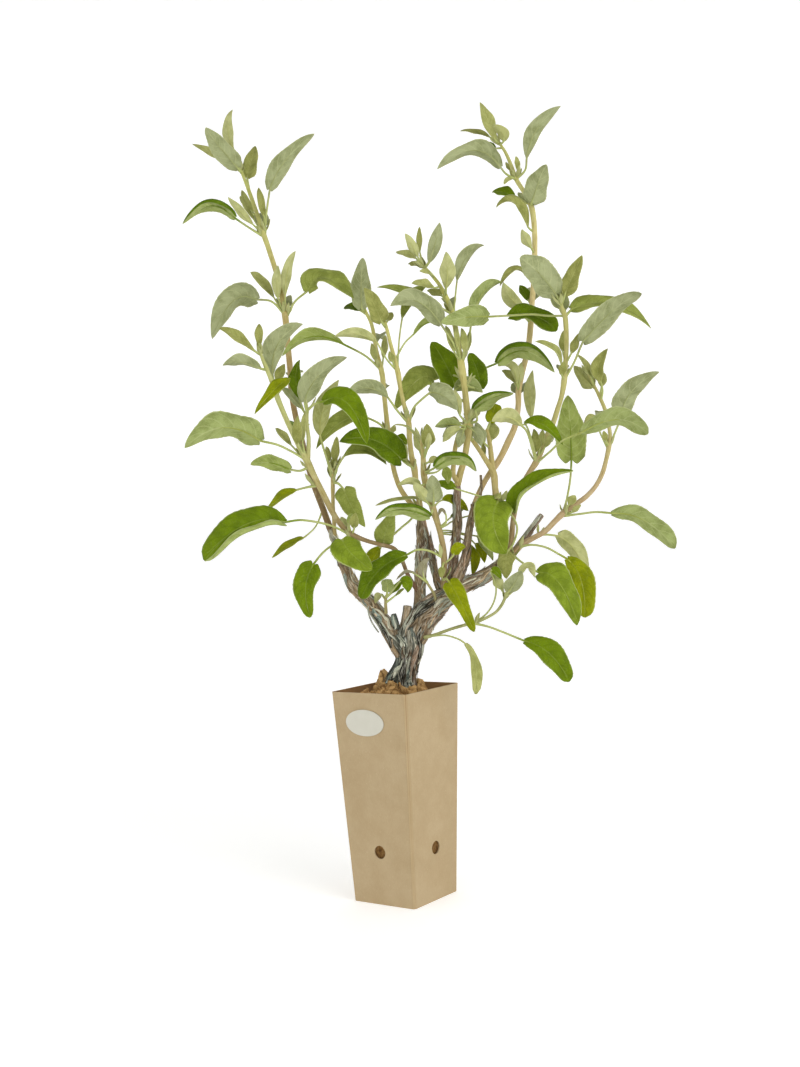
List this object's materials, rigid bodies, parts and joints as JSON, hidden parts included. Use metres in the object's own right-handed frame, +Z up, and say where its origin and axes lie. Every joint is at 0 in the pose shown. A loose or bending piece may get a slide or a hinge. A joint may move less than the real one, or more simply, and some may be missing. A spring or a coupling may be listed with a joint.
{
  "type": "potted phlomis",
  "caption": "Young shrubby phlomis with felted grey-green leaves on a forked woody trunk, in a tall square kraft carton pot with a blank oval label.",
  "frame": {"origin": "middle of the pot's underside, on the surface it stands on", "axes": "+Z up the plant; the label is on the pot's -Y side, and the sides face +X, -X, +Y and -Y"},
  "size_m": [0.4615, 0.4013, 0.7935],
  "materials": {
    "carton": "matte kraft",
    "label_paper": "matte",
    "soil": "matte, fibrous",
    "bark": "matte, peeling",
    "felted_leaf": "matte, felted"
  },
  "bodies": {
    "root": {"pot": "carton", "label": "label_paper", "soil": "soil", "trunk": "bark", "shoot_left_tall": "felted_leaf", "shoot_left_front": "felted_leaf", "shoot_left_thin": "felted_leaf", "shoot_centre_inner": "felted_leaf", "shoot_centre_left": "felted_leaf", "shoot_centre_pale": "felted_leaf", "shoot_centre_main": "felted_leaf", "shoot_centre_right": "felted_leaf", "shoot_right_tall": "felted_leaf", "shoot_right_middle": "felted_leaf", "shoot_right_low": "felted_leaf", "shoot_low_right": "felted_leaf", "shoot_low_left": "felted_leaf", "shoot_low_centre": "felted_leaf"}
  },
  "joints": []
}
